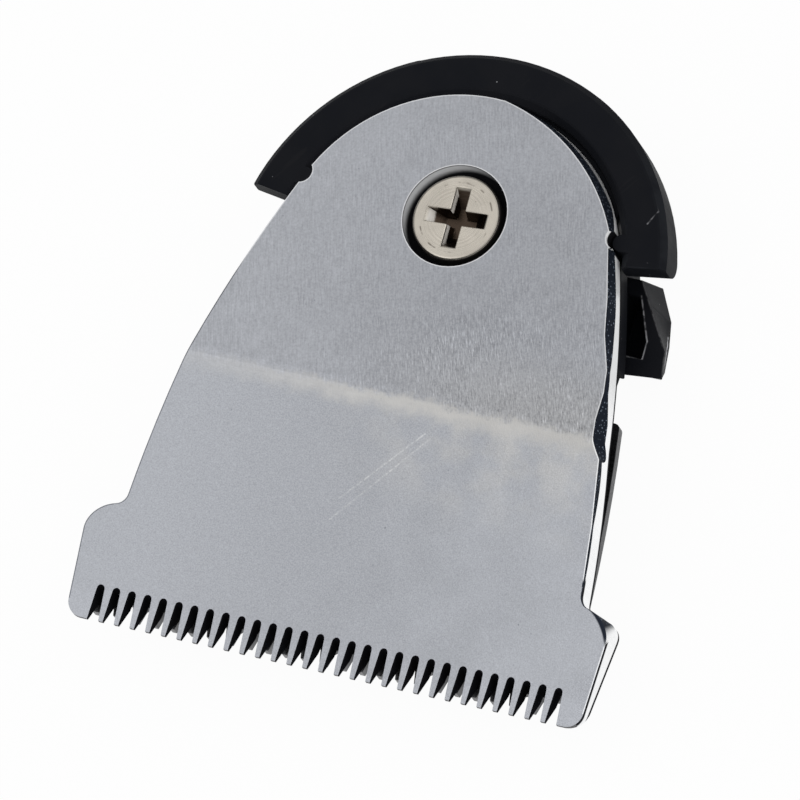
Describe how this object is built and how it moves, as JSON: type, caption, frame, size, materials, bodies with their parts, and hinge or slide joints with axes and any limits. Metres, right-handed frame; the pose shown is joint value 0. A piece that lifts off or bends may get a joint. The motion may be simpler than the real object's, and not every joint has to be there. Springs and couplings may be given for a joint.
{
  "type": "hair clipper blade",
  "caption": "Clip-on T-shaped trimmer blade set: a bent toothed steel comb screwed to a black plastic holder, with a spring-pressed cutter sliding behind its teeth.",
  "frame": {"origin": "below the middle of the part's outline, on the plane that the rear of the holder rests on", "axes": "+X across the teeth to the right as seen from the front, +Y from the teeth towards the screw end, +Z out of the front face of the steel"},
  "size_m": [0.032, 0.037, 0.0072],
  "materials": {
    "comb_steel": "brushed grey steel with bright punched walls and dark torn edges",
    "cutter_steel": "dark oiled steel, greyer at its worn tooth tips",
    "holder_plastic": "satin black moulded plastic",
    "bridge_plastic": "satin off-white moulded plastic",
    "screw_nickel": "warm nickel plate, slightly worn",
    "spring_steel": "drawn spring wire"
  },
  "bodies": {
    "carrier": {"holder": "holder_plastic", "fixed_blade": "comb_steel", "screw": "screw_nickel", "blade_spring": "spring_steel"},
    "cutter": {"moving_blade": "cutter_steel", "drive_bridge": "bridge_plastic"}
  },
  "joints": [
    {"name": "cutter_slide", "type": "slide", "parent": "carrier", "child": "cutter", "axis": [1, 0, 0], "range_m": [-0.0008, 0.0016]}
  ]
}
